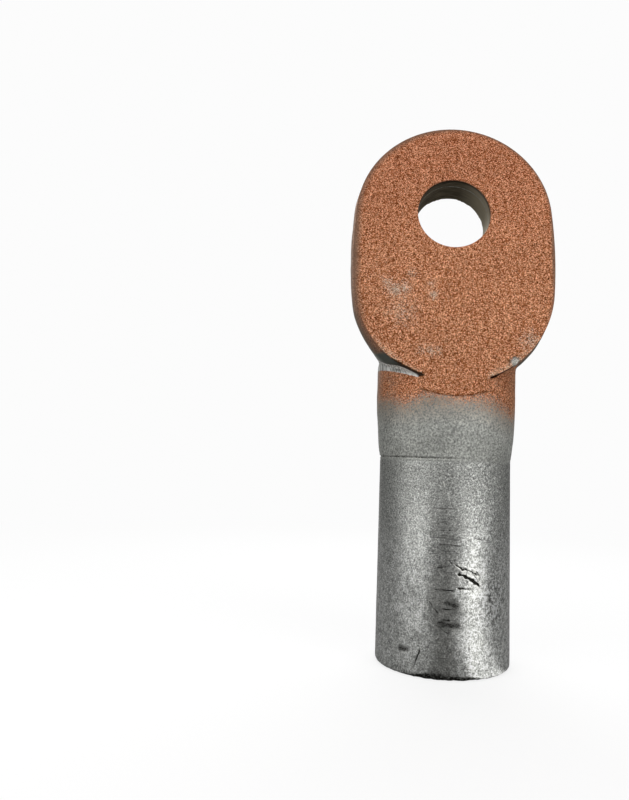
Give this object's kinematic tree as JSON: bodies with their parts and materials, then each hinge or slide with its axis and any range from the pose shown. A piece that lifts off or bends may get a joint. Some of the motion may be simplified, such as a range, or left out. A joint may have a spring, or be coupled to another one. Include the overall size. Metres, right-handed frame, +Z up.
{
  "type": "equipment terminal clamp",
  "caption": "Aluminium compression terminal clamp: round barrel with a blind conductor bore, swelling neck, and a flat round-ended palm with a bolt hole and a copper-sprayed contact face.",
  "frame": {"origin": "centre of the barrel's sawn end, on the barrel's axis, which is the bottom centre of the clamp's bounding box", "axes": "+Z runs up the barrel's axis to the palm's tip, -Y points out of the copper-sprayed contact side, +Y out of the marking side, and +X is to the right as seen from the contact side"},
  "size_m": [0.0392, 0.0258, 0.1024],
  "materials": {
    "forged_aluminium": "matt shot-blasted forging, brighter and scratched on the barrel",
    "sprayed_copper": "coarse matt thermally sprayed copper"
  },
  "bodies": {
    "root": {"clamp_body": "forged_aluminium", "copper_coating": "sprayed_copper"}
  },
  "joints": []
}
